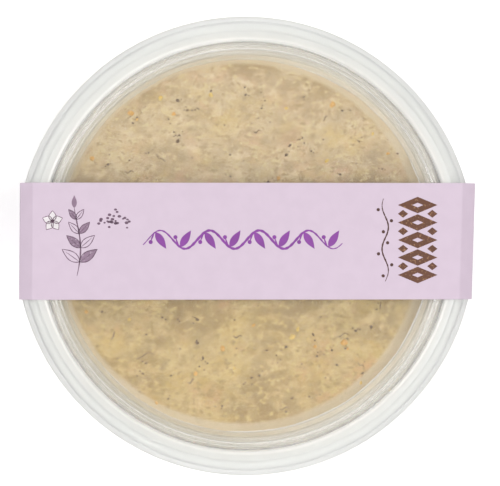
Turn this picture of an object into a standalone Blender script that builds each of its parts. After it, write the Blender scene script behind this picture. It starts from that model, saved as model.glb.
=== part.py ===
"""Baba ganoush in a clear round tub: the dip, its tub, a press-fit lid and a paper band round them.

Metres, +Z up. The origin is under the middle of the tub, on the surface that it stands on, and the
band runs over the lid along X. Sizes are in millimetres, and MM turns them into metres.
"""

import math

import bmesh
import bpy

MM = 0.001

# The pack as a whole
LID_RADIUS = 58.5
HEIGHT = 42.0
GAP = 0.3
SEGMENTS = 64

# Paper band, a closed loop round the lid and the base
BAND_WIDTH = 29.3
BAND_THICKNESS = 0.25
BAND_OFFSET_Y = 1.2
BAND_REACH_LEFT = 57.55
BAND_REACH_RIGHT = 57.95
BAND_FLARE = 0.5
BAND_CREASE = 53.9
BAND_SHOULDER = 1.35
BAND_SLANT_LEFT = 0.008
BAND_SLANT_RIGHT = 0.031
BAND_BASE_REACH = 44.2
BAND_ROWS = 4

# Lid, pressed over the rim, with a sunken panel and a shoulder that slopes down to the skirt
LID_WALL = 0.65
LID_TOP = HEIGHT - BAND_THICKNESS - GAP
PANEL_DEPTH = 5.0
SKIRT_DEPTH = 6.4
RECESS_RADIUS_LOW = 51.4
RECESS_RADIUS_TOP = 51.55
BEAD_RADIUS = 50.2
BEAD_HEIGHT = 0.4
CREST_RADIUS = 53.95
SHOULDER_DROP = 1.25
SKIRT_RADIUS = 56.4
PRESS_START = 3.5
PRESS_FULL = 4.9

# Tub, with a rolled rim under the lid and a ledge inside
TUB_WALL = 0.7
TUB_BASE = BAND_THICKNESS + GAP
FOOT_RADIUS = 43.0
FOOT_HOLLOW = 0.8
LEDGE_DEPTH = 8.5
LEDGE_RADIUS = 49.25
RIM_RADIUS = 55.5
RIM_DEPTH = 2.1
RIM_LIP = 1.3

# Dip
DIP_LEVEL = 30.0
DIP_CROWN = 0.5
DIP_DROP = 1.0
DIP_DROP_TOWARDS = math.radians(-40)
DIP_RINGS = 12

# Low waves on the dip: height, wavelength along X, wavelength along Y, phase
DIP_WAVES = (
    (0.22, 61.0, 19.0, 0.4),
    (0.20, -47.0, 15.0, 1.9),
    (0.16, 23.0, 27.0, 3.1),
    (0.12, -17.0, 12.0, 5.0),
)


def rounded(corners):
    """The path through corners (x, z, fillet radius, steps), each rounded off by an arc."""
    path = []
    for i, (x, z, radius, steps) in enumerate(corners):
        if not radius:
            path.append((x, z))
            continue
        before = corners[i - 1]
        after = corners[(i + 1) % len(corners)]
        to_before = math.atan2(before[1] - z, before[0] - x)
        to_after = math.atan2(after[1] - z, after[0] - x)
        turn = (to_after - to_before + math.pi) % math.tau - math.pi
        half = abs(turn) / 2
        middle = to_before + turn / 2
        centre_x = x + radius / math.sin(half) * math.cos(middle)
        centre_z = z + radius / math.sin(half) * math.sin(middle)
        sweep = math.pi - 2 * half
        direction = 1 if turn < 0 else -1
        for step in range(steps + 1):
            angle = middle + math.pi - direction * sweep * (0.5 - step / steps)
            path.append((centre_x + radius * math.cos(angle), centre_z + radius * math.sin(angle)))
    return path


def beside(path, distance, closed=False):
    """The path moved sideways by distance, to the left of its direction, mitred at its corners."""
    moved = []
    for i, point in enumerate(path):
        before = path[i - 1] if closed or i > 0 else None
        after = path[(i + 1) % len(path)] if closed or i < len(path) - 1 else None
        normals = []
        for start, end in ((before, point), (point, after)):
            if start and end:
                along_x = end[0] - start[0]
                along_z = end[1] - start[1]
                length = math.hypot(along_x, along_z)
                normals.append((-along_z / length, along_x / length))
        normal_x = sum(n[0] for n in normals) / len(normals)
        normal_z = sum(n[1] for n in normals) / len(normals)
        scale = distance / (normal_x**2 + normal_z**2)
        moved.append((point[0] + normal_x * scale, point[1] + normal_z * scale))
    return moved


def shell(path, thickness):
    """The outline of a wall of this thickness whose middle follows the path from the axis out."""
    return beside(path, thickness / 2) + beside(path, -thickness / 2)[::-1]


def smoothstep(low, high, value):
    share = min(max((value - low) / (high - low), 0.0), 1.0)
    return share * share * (3 - 2 * share)


def plastic(name, colour, roughness, alpha=1.0, transmission=0.0):
    material = bpy.data.materials.new(name)
    material.use_nodes = True
    shader = material.node_tree.nodes["Principled BSDF"]
    shader.inputs["Base Color"].default_value = (*colour, 1.0)
    shader.inputs["Roughness"].default_value = roughness
    shader.inputs["Metallic"].default_value = 0.0
    shader.inputs["Alpha"].default_value = alpha
    shader.inputs["Transmission Weight"].default_value = transmission
    return material


def add_object(name, bm, material, smooth_angle=None):
    """Turn a bmesh in millimetres into an object in metres, with its faces pointing out."""
    bmesh.ops.recalc_face_normals(bm, faces=bm.faces)
    bmesh.ops.scale(bm, vec=(MM, MM, MM), verts=bm.verts)
    mesh = bpy.data.meshes.new(name)
    bm.to_mesh(mesh)
    bm.free()
    if smooth_angle:
        mesh.shade_smooth()
        mesh.set_sharp_from_angle(angle=smooth_angle)
    mesh.materials.append(material)
    obj = bpy.data.objects.new(name, mesh)
    bpy.context.scene.collection.objects.link(obj)
    return obj


def turned(outline):
    """A bmesh of the outline (radius, z) turned once round Z. Its ends lie on the axis."""
    bm = bmesh.new()
    verts = [bm.verts.new((radius, 0.0, z)) for radius, z in outline]
    edges = [bm.edges.new(pair) for pair in zip(verts, verts[1:])]
    bmesh.ops.spin(bm, geom=verts + edges, axis=(0, 0, 1), cent=(0, 0, 0), angle=math.tau,
                   steps=SEGMENTS, use_merge=True)
    bmesh.ops.remove_doubles(bm, verts=bm.verts, dist=0.001)
    return bm


def tub_corners():
    ledge_z = LID_TOP - LEDGE_DEPTH
    rim_z = LID_TOP - RIM_DEPTH
    base_z = TUB_BASE + TUB_WALL / 2
    return [
        (0.0, base_z + FOOT_HOLLOW, 0, 0),
        (FOOT_RADIUS - 4.0, base_z + FOOT_HOLLOW, 0, 0),
        (FOOT_RADIUS - 3.0, base_z, 0, 0),
        (FOOT_RADIUS, base_z, 2.0, 2),
        (LEDGE_RADIUS, ledge_z, 1.2, 1),
        (54.0, ledge_z + 1.3, 0, 0),
        (54.5, rim_z, 0.5, 1),
        (RIM_RADIUS, rim_z, 0.5, 1),
        (RIM_RADIUS, rim_z - RIM_LIP, 0, 0),
    ]


def tub_inner_radius(z):
    """Radius of the tub's inner face between its foot and its ledge."""
    foot_z = TUB_BASE + TUB_WALL / 2
    share = (z - foot_z) / (LID_TOP - LEDGE_DEPTH - foot_z)
    return FOOT_RADIUS + (LEDGE_RADIUS - FOOT_RADIUS) * share - TUB_WALL / 2


def build_tub():
    material = plastic("clear_tub", (0.93, 0.94, 0.92), 0.12, alpha=0.4, transmission=0.9)
    bm = turned(shell(rounded(tub_corners()), TUB_WALL))
    return add_object("tub", bm, material, math.radians(40))


def lid_corners():
    panel_z = LID_TOP - PANEL_DEPTH - LID_WALL / 2
    top_z = LID_TOP - LID_WALL / 2
    lip_radius = LID_RADIUS - LID_WALL / 2
    return [
        (0.0, panel_z, 0, 0),
        (BEAD_RADIUS - 0.6, panel_z, 0, 0),
        (BEAD_RADIUS - 0.25, panel_z + BEAD_HEIGHT, 0, 0),
        (BEAD_RADIUS + 0.25, panel_z + BEAD_HEIGHT, 0, 0),
        (BEAD_RADIUS + 0.6, panel_z, 0, 0),
        (RECESS_RADIUS_LOW, panel_z, 0.4, 1),
        (RECESS_RADIUS_TOP, top_z, 1.2, 1),
        (CREST_RADIUS, top_z, 0, 0),
        (SKIRT_RADIUS, top_z - SHOULDER_DROP, 0.7, 2),
        (SKIRT_RADIUS + 0.1, LID_TOP - PRESS_START, 0, 0),
        (SKIRT_RADIUS + 0.2, LID_TOP - PRESS_FULL, 0, 0),
        (lip_radius - 0.1, LID_TOP - SKIRT_DEPTH + 0.9, 0, 0),
        (lip_radius, LID_TOP - SKIRT_DEPTH, 0, 0),
    ]


def band_reach(side, y):
    """How far the band stands out from the axis beside the lid's lip at this y, on side 1 or -1."""
    if side > 0:
        return BAND_REACH_RIGHT + BAND_SLANT_RIGHT * (y - BAND_OFFSET_Y)
    return BAND_REACH_LEFT - BAND_SLANT_LEFT * (y - BAND_OFFSET_Y)


def press_skirt(bm):
    """Flatten the lid's skirt at both sides, where the tight band presses it in."""
    for vert in bm.verts:
        side = 1 if vert.co.x > 0 else -1
        radius = vert.co.xy.length
        if radius < SKIRT_RADIUS - LID_WALL:
            continue
        room = band_reach(side, vert.co.y) - BAND_THICKNESS - GAP
        over = LID_RADIUS * abs(vert.co.x) / radius - room
        weight = smoothstep(PRESS_START, PRESS_FULL, LID_TOP - vert.co.z)
        vert.co.x -= side * max(over, 0.0) * weight


def build_lid():
    material = plastic("clear_lid", (0.95, 0.96, 0.95), 0.08, alpha=0.3, transmission=0.95)
    bm = turned(shell(rounded(lid_corners()), LID_WALL))
    press_skirt(bm)
    return add_object("lid", bm, material, math.radians(40))


def dip_height(x, y):
    """Height of the dip's surface over its mean level: a low crown, a slope and lazy waves."""
    edge = tub_inner_radius(DIP_LEVEL)
    radius = math.hypot(x, y) / edge
    along = (x * math.cos(DIP_DROP_TOWARDS) + y * math.sin(DIP_DROP_TOWARDS)) / edge
    height = DIP_CROWN * (1 - 2 * radius**2) - DIP_DROP / 2 * along
    for wave, length_x, length_y, phase in DIP_WAVES:
        height += wave * math.sin(math.tau * (x / length_x + y / length_y) + phase)
    return height


def build_dip():
    material = plastic("baba_ganoush", (0.62, 0.50, 0.33), 0.45)
    base_z = TUB_BASE + TUB_WALL + GAP
    foot_z = base_z + 3.0
    outline = [(0.0, base_z + FOOT_HOLLOW), (FOOT_RADIUS - 3.8, base_z + FOOT_HOLLOW),
               (FOOT_RADIUS - 2.7, base_z), (FOOT_RADIUS - 1.9, base_z),
               (tub_inner_radius(foot_z) - GAP, foot_z)]
    edge = tub_inner_radius(DIP_LEVEL) - GAP
    outline += [(edge * (1 - ring / DIP_RINGS), DIP_LEVEL) for ring in range(DIP_RINGS + 1)]
    bm = turned(outline)
    for vert in bm.verts:
        if vert.co.z > DIP_LEVEL - 0.01:
            vert.co.z += dip_height(vert.co.x, vert.co.y)
            room = tub_inner_radius(vert.co.z) - GAP
            if vert.co.xy.length > edge - 0.01:
                vert.co.xy *= room / vert.co.xy.length
    return add_object("dip", bm, material, math.radians(60))


def build_band():
    material = plastic("lavender_paper", (0.73, 0.61, 0.71), 0.7)
    middle = BAND_THICKNESS / 2
    top_z = HEIGHT - middle
    lip_z = LID_TOP - SKIRT_DEPTH
    reach = BAND_REACH_RIGHT - middle
    base = BAND_BASE_REACH - middle
    right = [(base, middle, 1.5, 2), (reach, lip_z, 0.6, 1),
             (reach - BAND_FLARE, top_z - BAND_SHOULDER, 0.6, 2), (BAND_CREASE, top_z, 1.0, 1)]
    left = [(-x, z, radius, steps) for x, z, radius, steps in right[::-1]]
    loop = rounded(right + left)
    outer = beside(loop, -middle, closed=True)
    inner = beside(loop, middle, closed=True)

    bm = bmesh.new()
    rows = []
    for row in range(BAND_ROWS + 1):
        y = BAND_OFFSET_Y + BAND_WIDTH * (row / BAND_ROWS - 0.5)
        rows.append([[bm.verts.new((x, y, z)) for x, z in face] for face in (outer, inner)])
    for i in range(len(loop)):
        j = (i + 1) % len(loop)
        for before, after in zip(rows, rows[1:]):
            for face in (0, 1):
                bm.faces.new((before[face][i], before[face][j], after[face][j], after[face][i]))
        for end in (rows[0], rows[-1]):
            bm.faces.new((end[0][i], end[0][j], end[1][j], end[1][i]))
    for vert in bm.verts:
        side = 1 if vert.co.x > 0 else -1
        vert.co.x *= band_reach(side, vert.co.y) / BAND_REACH_RIGHT
    return add_object("band", bm, material, math.radians(40))


def main():
    for obj in list(bpy.data.objects):
        bpy.data.objects.remove(obj, do_unlink=True)
    build_tub()
    build_dip()
    build_lid()
    build_band()


main()
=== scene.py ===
"""Looks of the tub of baba ganoush: a clear tub and lid, a creamy dip with char in it, a paper band.

Sizes are in millimetres, and MM turns them into metres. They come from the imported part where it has
them. Noise scales are per metre. Tones are 8-bit sRGB, and tints are what a shader gets as it is.
"""

import math
import random

import bpy
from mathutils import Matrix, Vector, noise


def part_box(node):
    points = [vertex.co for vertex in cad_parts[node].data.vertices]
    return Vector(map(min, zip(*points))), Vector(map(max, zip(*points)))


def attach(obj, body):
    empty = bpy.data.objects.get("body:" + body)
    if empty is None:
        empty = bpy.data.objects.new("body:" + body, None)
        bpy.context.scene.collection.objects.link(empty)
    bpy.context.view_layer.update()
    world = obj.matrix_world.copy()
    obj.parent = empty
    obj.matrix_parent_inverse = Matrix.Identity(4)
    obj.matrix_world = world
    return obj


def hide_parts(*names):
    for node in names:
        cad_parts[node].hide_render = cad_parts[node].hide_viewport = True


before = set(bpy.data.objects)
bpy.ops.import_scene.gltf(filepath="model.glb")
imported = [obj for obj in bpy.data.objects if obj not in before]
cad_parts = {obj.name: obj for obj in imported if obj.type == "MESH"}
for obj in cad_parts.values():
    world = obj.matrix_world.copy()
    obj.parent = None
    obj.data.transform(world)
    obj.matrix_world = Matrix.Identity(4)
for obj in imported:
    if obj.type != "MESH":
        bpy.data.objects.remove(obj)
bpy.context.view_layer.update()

MM = 0.001

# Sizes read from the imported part
LID_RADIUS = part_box("lid")[1].y / MM
LID_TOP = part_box("lid")[1].z / MM
LID_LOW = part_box("lid")[0].z / MM
TUB_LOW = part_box("tub")[0].z / MM
TUB_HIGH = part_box("tub")[1].z / MM
TUB_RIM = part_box("tub")[1].x / MM
BAND_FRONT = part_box("band")[0].y / MM
BAND_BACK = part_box("band")[1].y / MM
BAND_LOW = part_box("band")[0].z / MM
BAND_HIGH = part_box("band")[1].z / MM

# Walls and profiles. They are the part's own, but for the bead, which lies a little further in, and the
# shoulder of the lid, which is pressed down under the band
LID_WALL = 0.65
TUB_WALL = 0.7
PANEL_DEPTH = 5.0
CREST_RADIUS = 53.95
SHOULDER_DROP = 1.25
SKIRT_RADIUS = 56.4
RECESS_RADIUS_LOW = 51.4
RECESS_RADIUS_TOP = 51.55
BEAD_RADIUS = 49.9
BEAD_HEIGHT = 0.35
BEAD_FOOT = 0.65
BEAD_TOP = 0.25
SKIRT_DRAFT = 0.1
LIP_HEIGHT = 0.9
PRESS_START = 3.5
PRESS_FULL = 4.9
PRESS_FADE = 1.5
PRESS_PAST_BAND = 0.5
PRESS_GAP = 0.1
SHOULDER_PRESS = 0.55
SHOULDER_PRESS_START = CREST_RADIUS - 0.4
FOOT_RADIUS = 43.0
FOOT_HOLLOW = 0.8
HOLLOW_RADIUS_TOP = FOOT_RADIUS - 4.0
HOLLOW_RADIUS_LOW = FOOT_RADIUS - 3.0
LEDGE_DEPTH = 8.5
LEDGE_RADIUS = 49.25
LEDGE_RADIUS_OUT = 54.0
LEDGE_RISE = 1.3
LEDGE_Z = LID_TOP - LEDGE_DEPTH
NECK_RADIUS = 54.5
RIM_LIP = 1.3
SEGMENTS = 288

# Dip. Its waves: height, length along x, length along y, phase
DIP_LEVEL = 30.0
DIP_CROWN = 0.5
DIP_DROP = 1.0
DIP_DROP_TOWARDS = math.radians(-40)
DIP_WAVES = (
    (0.22, 61.0, 19.0, 0.4),
    (0.20, -47.0, 15.0, 1.9),
    (0.16, 23.0, 27.0, 3.1),
    (0.12, -17.0, 12.0, 5.0),
)
DIP_GRID = 236
INTO_WALL = 0.08
DIP_LOWEST_SIDE = 12.0

# Relief on the dip: length along x, length along y, height, layer of the noise. EDGE_RELIEF is the share
# of it that is left at the wall.
DIP_SMEARS = (8.0, 5.5, 0.38, 3.0)
DIP_LUMPS = (3.0, 2.6, 0.24, 11.0)
DIP_GRAIN = (1.1, 1.0, 0.08, 21.0)
EDGE_RELIEF = 0.35

# Where the dip calms down and rolls over towards the wall, as shares of its radius, and how far it drops
CALM_START = 0.93
ROLL_START = 0.91
ROLL_DROP = 0.3
ROLL_EXTRA = 0.6

# Tones of the dip. Its patches: tone, noise scale, noise offset, and where the noise starts and fills it
DIP_CREAM = (162, 139, 99)
DIP_PATCHES = (
    ((168, 142, 88), 130.0, (0.0, 0.0, 0.0), 0.44, 0.66),
    ((172, 136, 98), 120.0, (3.0, 1.0, 0.0), 0.46, 0.70),
    ((148, 123, 82), 210.0, (7.0, 5.0, 0.0), 0.48, 0.80),
    ((138, 113, 73), 60.0, (6.0, 4.0, 0.0), 0.44, 0.66),
    ((182, 159, 118), 230.0, (2.0, 8.0, 0.0), 0.44, 0.78),
    ((140, 114, 72), 360.0, (5.0, 3.0, 0.0), 0.50, 0.82),
    ((172, 150, 104), 620.0, (9.0, 2.0, 0.0), 0.52, 0.68),
    ((144, 119, 76), 900.0, (1.0, 6.0, 0.0), 0.53, 0.70),
)
DIP_PATCH_STRETCH = (0.85, 1.0, 1.0)
# Painted light and shade on the dip's top: the back is lightened and the front darkened and yellowed, as
# the light falls
DIP_BACK_PAINTED_LIGHT = (0.98, 1.03, 1.17)
DIP_FRONT_PAINTED_SHADE = (0.92, 0.92, 0.77)
# Painted light: the dip's side is lightened, as if more light fell on it
DIP_SIDE_PAINTED_LIGHT = (1.22, 1.24, 1.35)
# Painted light: a paler rim where the dip rolls down to the wall, lifting the shade there, reaching further
# in at the right front
DIP_RIM_PAINTED_LIGHT = (170, 154, 126)
RIM_LIGHT_SHIFT = (1.0, -0.6, 0.0)
DIP_UPPER_ZONE = (DIP_LEVEL - 2.8, DIP_LEVEL - 1.8)
DIP_FRONT_SHADE_ZONE = (18.0, -18.0)
DIP_RIM_LIGHT_ZONE = (45.8, 47.2)
DIP_SCATTER = (1.6, 1.1, 0.6)
FLECK_SCATTER = (0.8, 0.5, 0.3)

# Char specks that stand out, which have crumbs beside them: x, y and half size
CHAR_SPECKS = (
    (10.5, 23.5, 0.42), (11.5, 26.0, 0.36), (14.0, 27.5, 0.22), (17.0, 24.5, 0.26), (-17.5, 27.0, 0.46),
    (-18.0, 28.5, 0.24), (-17.5, 37.5, 0.38), (-15.0, 35.0, 0.30), (-13.0, 35.0, 0.22), (-28.0, 33.0, 0.34),
    (0.0, 39.0, 0.34), (5.0, 37.5, 0.22), (15.0, 38.5, 0.24), (25.0, 35.0, 0.28), (24.5, 18.5, 0.30),
    (-35.5, 21.0, 0.32), (-4.0, 23.5, 0.28), (29.5, 27.0, 0.24), (35.5, 20.0, 0.26), (-25.0, 24.0, 0.24),
    (-37.0, -17.0, 0.32), (-17.5, -19.0, 0.24), (-21.5, -18.5, 0.28), (-12.5, -19.0, 0.34),
    (-12.5, -25.0, 0.44), (-11.0, -29.0, 0.38), (-26.5, -33.0, 0.30), (17.5, -23.0, 0.34),
    (32.5, -21.0, 0.36), (5.5, -27.0, 0.28), (10.5, -26.0, 0.34), (18.5, -28.5, 0.30), (9.0, -29.5, 0.22),
    (1.5, -34.0, 0.32), (3.5, -33.5, 0.26), (12.0, -39.5, 0.28), (16.5, -39.0, 0.24), (28.5, -22.0, 0.30),
    (-33.0, -29.0, 0.26), (-6.0, -41.5, 0.28), (-20.0, -39.5, 0.26), (34.0, -16.5, 0.28),
)

# Thin strips of charred skin: x, y, length, heading and bend
SKIN_STRIPS = (
    (-26.0, -28.0, 5.0, 0.35, -0.5), (-34.0, -23.0, 2.6, 1.2, 0.5), (35.0, -15.5, 2.6, 1.4, 0.3),
    (25.0, -23.0, 3.6, 0.3, -0.4), (-22.0, 22.5, 3.0, -0.6, 0.4), (3.0, 29.5, 2.4, 0.2, 0.4),
    (-30.0, 19.0, 2.6, 0.1, 0.5), (20.5, 33.0, 2.2, 0.9, -0.4), (-2.0, -23.5, 2.6, 0.1, 0.4),
    (10.0, -42.0, 3.0, 0.15, -0.3), (-14.0, -35.0, 2.4, 0.6, 0.5), (30.0, -31.0, 2.2, -0.5, 0.3),
)

# Bits of pepper and of yellow flesh: x, y and half size
PEPPER_BITS = (
    (-29.5, 34.0, 0.85), (-28.0, 32.5, 0.4), (25.5, -25.0, 0.95), (26.5, -26.5, 0.4), (-6.0, -26.5, 0.7),
    (2.0, -20.5, 0.6), (22.5, 36.5, 0.75), (-39.5, 22.5, 0.7), (-13.0, -33.0, 0.6), (37.0, 24.0, 0.4),
    (-23.0, -40.5, 0.5), (8.5, 17.5, 0.55), (-18.5, 34.0, 0.5), (18.0, -26.0, 0.45), (-41.0, -17.0, 0.5),
)
LEMON_BITS = (
    (12.0, -23.5, 0.8), (13.5, -21.5, 0.6), (-9.0, 39.0, 0.6), (10.5, 35.5, 0.5), (-3.0, -31.5, 0.5),
    (-22.0, 38.0, 0.7), (33.0, 29.0, 0.45), (30.0, -35.5, 0.5), (-30.0, -19.0, 0.5), (21.0, 22.0, 0.5),
)
CRUMB_SIZES = (0.14, 0.25)
CRUMB_SPREAD = 0.8
FINE_SPECKS = 190
FINE_SPECK_LEAST = 0.12
FINE_SPECK_EXTRA = 0.2
FINE_SPECK_REACH = 46.5
LUMP_RINGS = 5
LUMP_SIDES = 9
STRIP_STEPS = 10
STRIP_DEPTH = 0.22
STRIP_HALF = 0.17
STRIP_TIP = 0.03
STRIP_WIGGLE = 0.25
STRIP_LIFT = 0.05
STRIP_CURL = 0.04

# Two close tones of each kind of fleck
CHAR_TONES = ((78, 53, 25), (104, 78, 44))
SKIN_TONES = ((98, 74, 44), (122, 98, 62))
PEPPER_TONES = ((176, 128, 48), (170, 132, 66))
LEMON_TONES = ((182, 150, 64), (172, 146, 80))

# Paper band. Its shoulder falls a little lower at the folds than the part's.
PAPER = 0.25
BAND_MIDDLE_Y = (BAND_FRONT + BAND_BACK) / 2
BAND_WIDTH = BAND_BACK - BAND_FRONT
BAND_REACH_LEFT = 57.55
BAND_REACH_RIGHT = 57.95
BAND_FLARE = 0.5
BAND_CREASE = 53.9
BAND_SHOULDER = 1.9
BAND_SLANT_LEFT = 0.008
BAND_SLANT_RIGHT = 0.031
BAND_BASE_REACH = 44.2
BAND_ROWS = 16
BAND_STEP = 2.0
PAPER_SPAN = 50.0
PAPER_BOW = 0.1
PAPER_BUCKLE = 0.075
PAPER_BUCKLE_LENGTH = 17.0
PAPER_CURL = 0.5
PAPER_TONES = ((197, 180, 195), (200, 183, 198))

# Print on the band
PRINT_LIFT = 0.02
VINE_SPAN = (-26.0, 24.0)
VINE_WAVE = 12.4
VINE_Y = 1.6
VINE_RISE = 2.3
VINE_STEM = 0.6
VINE_LEAF = (5.0, 1.9)
VINE_LEAN = 1.0
VINE_BERRY = 0.52
VINE_STALK = 0.36
SPRIG_FOOT = (-42.5, -7.5)
SPRIG_HEIGHT = 17.0
SPRIG_STEM = 0.34
SPRIG_LEAF = 5.4
SPRIG_LEAF_SHRINK = 0.75
SPRIG_OUTLINE = 0.2
SPRIG_VEIN = 0.16
SEED_COUNT = 26
SEED_PLACE = (9.0, 14.0)
SEED_SPREAD = (1.9, 0.8)
BLOSSOM = (-48.6, 6.2)
PETAL = (2.6, 1.9)
PETAL_COUNT = 5
COLUMN_X = 43.0
COLUMN_WIDTH = 10.0
COLUMN_LOW = -9.5
COLUMN_STEP = 4.4
COLUMN_COUNT = 5
COLUMN_GAP = 0.12
COLUMN_HOLE = 0.28
STUD_HALF_X = 1.3
STUD_HALF_Y = 1.0
BEADED_GAP = 3.2
BEADED_WAVE = 0.8
BEADED_END = 0.6
BEADED_WIDTH = 0.36
BEADED_SIDE = 1.1
BEADED_DOT = 0.42
DOT_SIDES = 14
INK_PURPLE = (130, 54, 148)
INK_GREY_PLUM = (138, 112, 134)
INK_PLUM = (104, 78, 98)
INK_THIN_PLUM = (112, 80, 102)
INK_WHITE = (226, 220, 222)
INK_BROWN = (92, 48, 18)
INK_WORN_BROWN = (164, 122, 82)
INK_DARK_BROWN = (72, 34, 24)
INK_DEEPEST = 0.84

# Plastics: tints, and how much of the light goes straight through
LID_TINT = (0.86, 0.865, 0.855)
WALL_TINT = (0.89, 0.89, 0.875)
# Painted shade: the flange tint is darker, for the shade seen through it
FLANGE_SHADE_TINT = (0.80, 0.805, 0.79)
LID_CLEAR = 0.97
LID_FROST = 0.72
# Painted shade: the lip tint is darker still, for the shade at the lip's edge
LIP_SHADE_TINT = (0.71, 0.715, 0.705)
TUB_TINT = (0.83, 0.835, 0.815)
TUB_CLEAR = 0.8
# Painted shade: the ledge is tinted darker for the shade seen through it, and the film's tones are partly a
# smear of dip and partly painted shade
LEDGE_SHADE_TINT = (0.585, 0.56, 0.51)
FILM_SMEAR_AND_SHADE = (0.70, 0.65, 0.54)
FILM_PALE_SMEAR_AND_SHADE = (0.80, 0.755, 0.66)
FILM_CLEAR = 0.4
WET_TINT = (0.97, 0.97, 0.96)
WET_CLEAR = 0.97
LID_SHADE = 0.92
TUB_SHADE = 0.88
PLASTIC_IOR = 1.49
PANEL_ROUGHNESS = 0.06
BEAD_ROUGHNESS = 0.14
FROST_ROUGHNESS = 0.3
TUB_ROUGHNESS = 0.14
INSIDE_ROUGHNESS = 0.2

# Where the plastic's tints come in: radii on the lid, heights on the tub, and x for the pale side
BEAD_ZONE = (48.4, 49.2)
FROST_ZONE = (50.9, 51.7)
FLANGE_ZONE = (52.2, 52.8)
LIP_ZONE = (55.8, 56.4)
LEDGE_ZONE = (LEDGE_Z + 3.5, LEDGE_Z + 1.5)
FILM_ZONE = (LEDGE_Z + 0.4, LEDGE_Z - 0.5)
WET_ZONE = (DIP_LEVEL + 0.2, DIP_LEVEL - 1.4)
INSIDE_ZONE = (50.3, 49.7)
PALE_SIDE_ZONE = (-10.0, 30.0)

# Soft lights: name, place, target, width, height and watts
SOFTBOXES = (
    ("left_softbox", (-350, 0, 660), (0, 0, 30), 140, 380, 2.07),
    ("right_softbox", (350, 0, 660), (0, 0, 30), 140, 380, 2.07),
    ("front_strip", (190, -270, 560), (0, 0, 30), 460, 50, 0.9),
    ("back_strip", (-190, 270, 560), (0, 0, 30), 460, 50, 0.7),
    ("front_fill", (0, -750, 140), (0, 0, 25), 800, 200, 1.2),
    ("back_fill", (0, 750, 140), (0, 0, 25), 800, 200, 1.2),
)
WORLD_STRENGTH = 0.22
FLOOR_DROP = 0.2
FLOOR_SIDE = 6000.0

# Camera
CAMERA_AIM = (0.8, 0.75, LID_TOP)
CAMERA_LEFT = 12.0
CAMERA_DISTANCE = 400.0
FRAME_WIDTH = 125.55
SENSOR_WIDTH = 36.0


# Profiles

def rounded(corners):
    """The path through corners (x, z, fillet radius, steps), each rounded off by an arc."""
    path = []
    for i, (x, z, radius, steps) in enumerate(corners):
        if not radius:
            path.append((x, z))
            continue
        before = corners[i - 1]
        after = corners[(i + 1) % len(corners)]
        to_before = math.atan2(before[1] - z, before[0] - x)
        to_after = math.atan2(after[1] - z, after[0] - x)
        turn = (to_after - to_before + math.pi) % math.tau - math.pi
        half = abs(turn) / 2
        middle = to_before + turn / 2
        centre_x = x + radius / math.sin(half) * math.cos(middle)
        centre_z = z + radius / math.sin(half) * math.sin(middle)
        sweep = math.pi - 2 * half
        direction = 1 if turn < 0 else -1
        for step in range(steps + 1):
            angle = middle + math.pi - direction * sweep * (0.5 - step / steps)
            path.append((centre_x + radius * math.cos(angle), centre_z + radius * math.sin(angle)))
    return path


def beside(path, distance, closed=False):
    """The path moved sideways by distance, to the left of its direction, mitred at its corners."""
    moved = []
    for i, point in enumerate(path):
        before = path[i - 1] if closed or i > 0 else None
        after = path[(i + 1) % len(path)] if closed or i < len(path) - 1 else None
        normals = []
        for start, end in ((before, point), (point, after)):
            if start and end:
                along_x = end[0] - start[0]
                along_z = end[1] - start[1]
                length = math.hypot(along_x, along_z)
                normals.append((-along_z / length, along_x / length))
        normal_x = sum(n[0] for n in normals) / len(normals)
        normal_z = sum(n[1] for n in normals) / len(normals)
        scale = distance / (normal_x**2 + normal_z**2)
        moved.append((point[0] + normal_x * scale, point[1] + normal_z * scale))
    return moved


def shell(path, thickness):
    """The outline of a wall of this thickness whose middle follows the path from the axis out."""
    return beside(path, thickness / 2) + beside(path, -thickness / 2)[::-1]


def smoothstep(low, high, value):
    share = min(max((value - low) / (high - low), 0.0), 1.0)
    return share * share * (3 - 2 * share)


# Meshes and nodes

def add_piece(name, verts, faces, material, node=None, slot=None, smooth_angle=math.radians(50)):
    """A piece from vertices in millimetres, riding on the body and standing for a CAD node."""
    mesh = bpy.data.meshes.new(name)
    mesh.from_pydata([(x * MM, y * MM, z * MM) for x, y, z in verts], [], faces)
    mesh.update()
    if smooth_angle:
        mesh.shade_smooth()
        mesh.set_sharp_from_angle(angle=smooth_angle)
    mesh.materials.append(material)
    piece = bpy.data.objects.new(name, mesh)
    bpy.context.scene.collection.objects.link(piece)
    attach(piece, "root")
    if node:
        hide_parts(node)
    return piece


def turned(outline, segments):
    """Vertices and faces of the outline (radius, z) turned round Z. Its two ends lie on the axis."""
    verts = [(0.0, 0.0, outline[0][1])]
    for radius, z in outline[1:-1]:
        for i in range(segments):
            angle = math.tau * i / segments
            verts.append((radius * math.cos(angle), radius * math.sin(angle), z))
    verts.append((0.0, 0.0, outline[-1][1]))
    last = len(verts) - 1
    faces = []
    rings = len(outline) - 2
    for i in range(segments):
        j = (i + 1) % segments
        faces.append((0, 1 + i, 1 + j))
        for ring in range(rings - 1):
            a = 1 + ring * segments
            b = a + segments
            faces.append((a + i, b + i, b + j, a + j))
        a = 1 + (rings - 1) * segments
        faces.append((a + i, last, a + j))
    return verts, faces


def new_material(name):
    material = bpy.data.materials.new(name)
    material.use_nodes = True
    nodes = material.node_tree.nodes
    return material, nodes, material.node_tree.links, nodes["Principled BSDF"]


def srgb(red, green, blue):
    """Linear colour from 8-bit sRGB."""
    def linear(value):
        value /= 255
        return value / 12.92 if value <= 0.04045 else ((value + 0.055) / 1.055) ** 2.4
    return linear(red), linear(green), linear(blue)


# Shader nodes

def object_place(nodes):
    """The point that is shaded, in its piece's own frame, as a socket."""
    return nodes.new("ShaderNodeTexCoord").outputs["Object"]


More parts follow.
